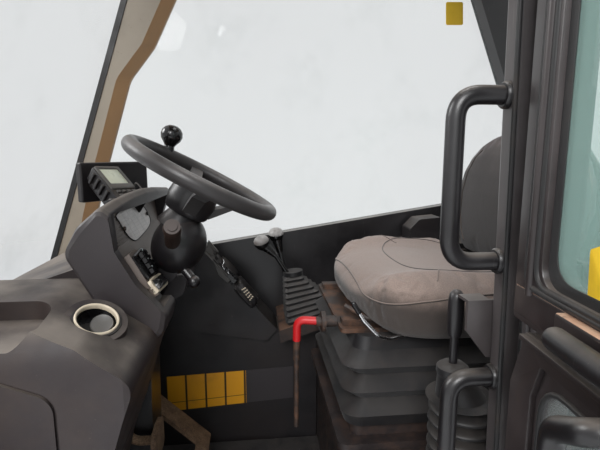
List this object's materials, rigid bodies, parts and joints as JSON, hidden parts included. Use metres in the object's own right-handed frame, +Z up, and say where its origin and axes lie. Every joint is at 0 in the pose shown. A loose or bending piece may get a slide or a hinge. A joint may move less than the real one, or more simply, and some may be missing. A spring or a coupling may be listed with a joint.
{
  "type": "telehandler cab",
  "caption": "Enclosed operator's cab of a telehandler, with a split side door standing open, dash pod, tilting steering wheel, hand levers and a suspension seat.",
  "frame": {"origin": "centre of the four mounting holes, on the plane the feet stand on", "axes": "+X forward, +Y to the driver's left, +Z up"},
  "size_m": [1.5779, 1.7076, 1.736],
  "materials": {
    "bright_knob": "polished",
    "fascia": "grained",
    "frame_black": "worn satin",
    "glass_clear": "clear",
    "label": "blank",
    "lining": "matte",
    "pedal_rubber": "dusty",
    "pillar_trim": "matte",
    "red_sleeve": "gloss",
    "roof_yellow": "satin",
    "rubber": "dusty",
    "seat_cloth": "woven",
    "seat_metal": "rusty",
    "shroud": "satin",
    "wheel_grip": "polished by use"
  },
  "bodies": {
    "cab": {"accelerator": "pedal_rubber", "air_vent": "fascia", "base_frame": "frame_black", "brake_boot": "rubber", "brake_lever": "shroud", "brake_pedal": "pedal_rubber", "column_foot": "frame_black", "console_lid": "fascia", "dash_panel": "fascia", "dash_pod": "fascia", "dash_shelf": "fascia", "display_unit": "fascia", "floor_mat": "rubber", "front_console": "fascia", "front_wall": "frame_black", "grab_handle_lower": "frame_black", "grab_handle_upper": "frame_black", "headliner": "lining", "label_plates": "label", "lever_auxiliary": "bright_knob", "lever_boot": "rubber", "lever_main": "bright_knob", "lever_tray": "fascia", "monitor": "shroud", "pillar_door": "frame_black", "pillar_front_left": "pillar_trim", "pillar_front_right": "pillar_trim", "rear_box": "fascia", "rear_cabinet": "fascia", "rear_wall": "frame_black", "roof_frame": "frame_black", "roof_glass": "glass_clear", "roof_guard": "frame_black", "roof_skin": "roof_yellow", "seat_adjuster": "red_sleeve", "seat_bellows": "rubber", "seat_deck": "seat_metal", "seat_rails": "seat_metal", "side_console": "fascia", "side_wall_left": "frame_black", "side_wall_right": "frame_black", "switch_plate": "fascia", "window_left_rear": "glass_clear", "window_rear": "glass_clear", "window_right": "glass_clear", "windscreen": "glass_clear", "windscreen_seal": "rubber", "wing_panel": "frame_black"},
    "door_lower": {"door_lower": "frame_black", "door_lower_glass": "glass_clear"},
    "door_upper": {"door_upper": "frame_black", "door_upper_glass": "glass_clear"},
    "column": {"column_shroud": "shroud", "column_stalk": "shroud"},
    "steering_wheel": {"steering_wheel": "wheel_grip", "spinner_knob": "shroud"},
    "seat": {"seat_pan": "seat_metal", "seat_cushion": "seat_cloth"},
    "backrest": {"back_shell": "shroud", "back_cushion": "seat_cloth"}
  },
  "joints": [
    {"name": "door_lower_hinge", "type": "hinge", "parent": "cab", "child": "door_lower", "pos_m": [-0.261, 0.466, 0.48], "axis": [0, 0, 1], "range_deg": [-85, 6]},
    {"name": "door_upper_hinge", "type": "hinge", "parent": "cab", "child": "door_upper", "pos_m": [-0.261, 0.466, 1.15], "axis": [0, 0, 1], "range_deg": [-85, 86]},
    {"name": "column_tilt", "type": "hinge", "parent": "cab", "child": "column", "pos_m": [0.314, 0, 0.64], "axis": [0, -1, 0], "range_deg": [0, 10]},
    {"name": "wheel_turn", "type": "hinge", "parent": "column", "child": "steering_wheel", "pos_m": [0.18, 0, 0.92], "axis": [-0.4695, 0, 0.8829], "continuous": true},
    {"name": "seat_slide", "type": "slide", "parent": "cab", "child": "seat", "axis": [1, 0, 0], "range_m": [-0.045, 0.08]},
    {"name": "backrest_recline", "type": "hinge", "parent": "seat", "child": "backrest", "pos_m": [-0.475, 0, 0.7], "axis": [0, 1, 0], "range_deg": [-5, 10]}
  ]
}
